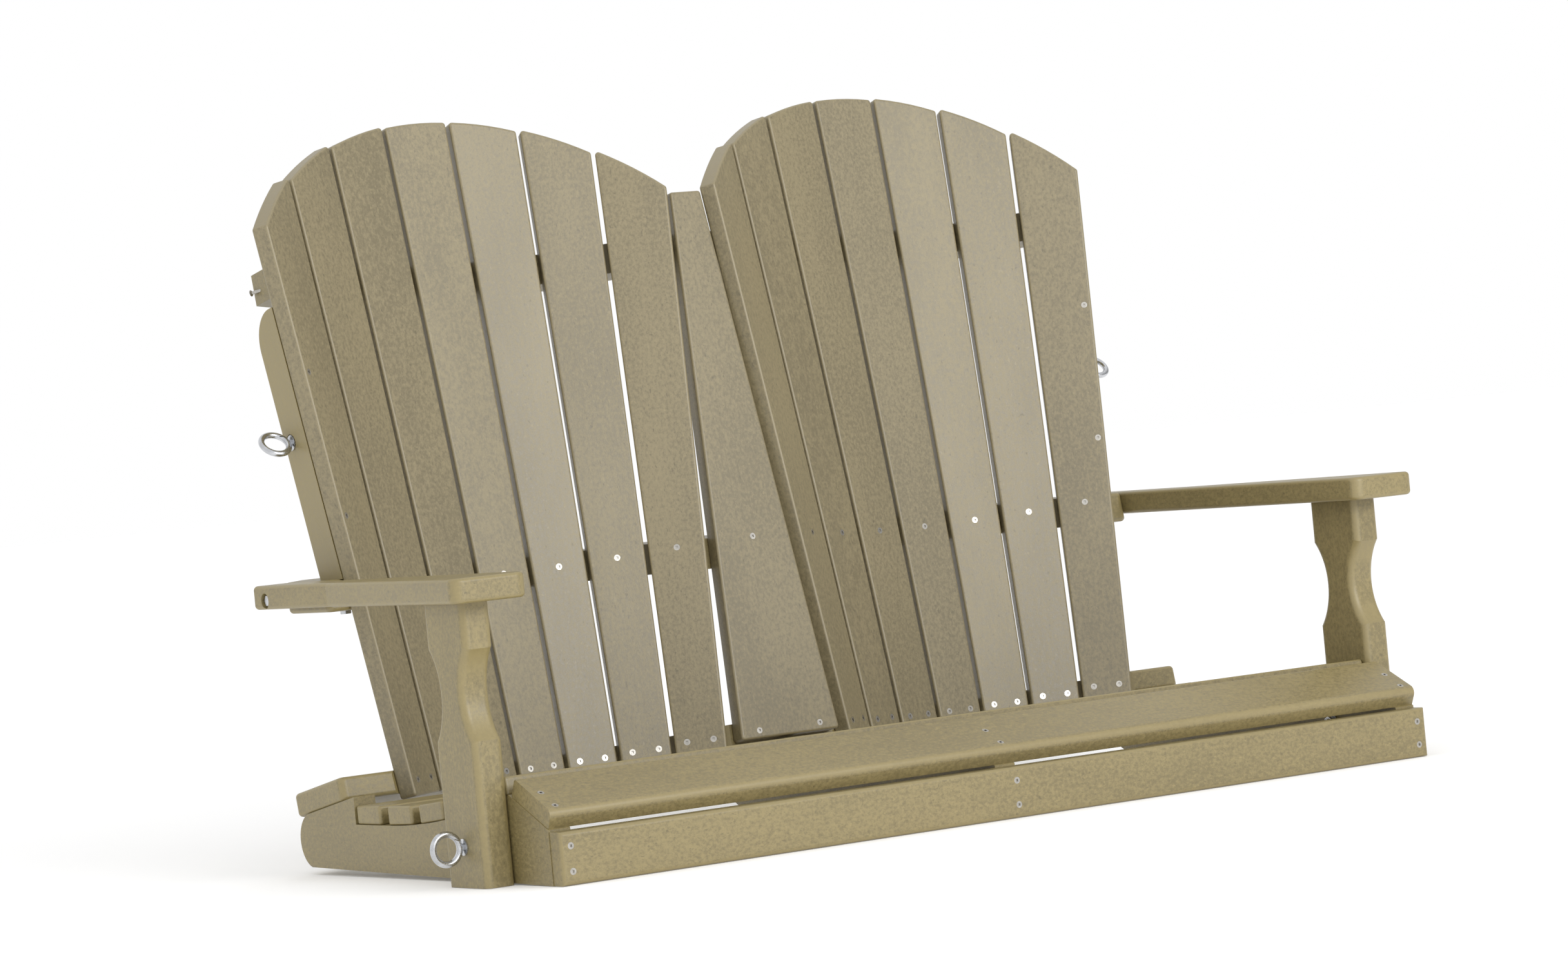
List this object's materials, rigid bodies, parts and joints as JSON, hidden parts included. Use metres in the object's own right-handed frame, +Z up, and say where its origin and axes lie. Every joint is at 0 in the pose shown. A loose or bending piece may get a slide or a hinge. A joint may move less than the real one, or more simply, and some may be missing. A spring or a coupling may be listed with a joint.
{
  "type": "hanging swing bench",
  "caption": "Hanging porch swing bench of plastic lumber with a divided fan back, contoured slat seat, flat arms and swivelling chain eyes.",
  "frame": {"origin": "middle of the footprint, on the level of the undersides of the posts and the apron", "axes": "+X along the bench to the right arm as seen from the front, +Y from front to back, +Z up"},
  "size_m": [1.4116, 0.7422, 0.8985],
  "materials": {
    "poly_lumber": "satin, brushed",
    "zinc": "bright zinc plated",
    "stainless": "plain stainless"
  },
  "bodies": {
    "bench": {"apron": "poly_lumber", "apron_screws": "stainless", "arm_bolts": "zinc", "arm_screws": "stainless", "center_seat_rail": "poly_lumber", "center_wedge_slat": "poly_lumber", "front_seat_slat": "poly_lumber", "front_slat_screws": "stainless", "left_arm": "poly_lumber", "left_arm_post": "poly_lumber", "left_back_slat_1": "poly_lumber", "left_back_slat_2": "poly_lumber", "left_back_slat_3": "poly_lumber", "left_back_slat_4": "poly_lumber", "left_back_slat_5": "poly_lumber", "left_back_slat_6": "poly_lumber", "left_back_slat_7": "poly_lumber", "left_back_upright": "poly_lumber", "left_seat_rail": "poly_lumber", "lower_back_rail": "poly_lumber", "lower_back_screws": "stainless", "lower_rail_screws": "stainless", "middle_back_rail": "poly_lumber", "middle_back_screws": "stainless", "post_screws": "stainless", "right_arm": "poly_lumber", "right_arm_post": "poly_lumber", "right_back_slat_1": "poly_lumber", "right_back_slat_2": "poly_lumber", "right_back_slat_3": "poly_lumber", "right_back_slat_4": "poly_lumber", "right_back_slat_5": "poly_lumber", "right_back_slat_6": "poly_lumber", "right_back_slat_7": "poly_lumber", "right_back_upright": "poly_lumber", "right_seat_rail": "poly_lumber", "seat_slat_1": "poly_lumber", "seat_slat_2": "poly_lumber", "seat_slat_3": "poly_lumber", "seat_slat_4": "poly_lumber", "seat_slat_5": "poly_lumber", "seat_slat_screws": "stainless", "top_back_rail": "poly_lumber", "top_back_screws": "stainless", "upright_bolts": "zinc", "upright_screws": "stainless"},
    "left_front_eye": {"left_front_eye_bolt": "zinc", "left_front_eye_nut": "zinc", "left_front_eye_washers": "zinc"},
    "left_rear_eye": {"left_rear_eye_bolt": "zinc", "left_rear_eye_nut": "zinc", "left_rear_eye_washers": "zinc"},
    "right_front_eye": {"right_front_eye_bolt": "zinc", "right_front_eye_nut": "zinc", "right_front_eye_washers": "zinc"},
    "right_rear_eye": {"right_rear_eye_bolt": "zinc", "right_rear_eye_nut": "zinc", "right_rear_eye_washers": "zinc"}
  },
  "joints": [
    {"name": "left_front_eye_swivel", "type": "hinge", "parent": "bench", "child": "left_front_eye", "pos_m": [-0.6621, -0.22465, 0.0462], "axis": [1, 0, 0], "continuous": true},
    {"name": "left_rear_eye_swivel", "type": "hinge", "parent": "bench", "child": "left_rear_eye", "pos_m": [-0.58986, 0.22898, 0.51695], "axis": [1, 0, 0], "continuous": true},
    {"name": "right_front_eye_swivel", "type": "hinge", "parent": "bench", "child": "right_front_eye", "pos_m": [0.6621, -0.22465, 0.0462], "axis": [1, 0, 0], "continuous": true},
    {"name": "right_rear_eye_swivel", "type": "hinge", "parent": "bench", "child": "right_rear_eye", "pos_m": [0.58986, 0.22898, 0.51695], "axis": [1, 0, 0], "continuous": true}
  ]
}
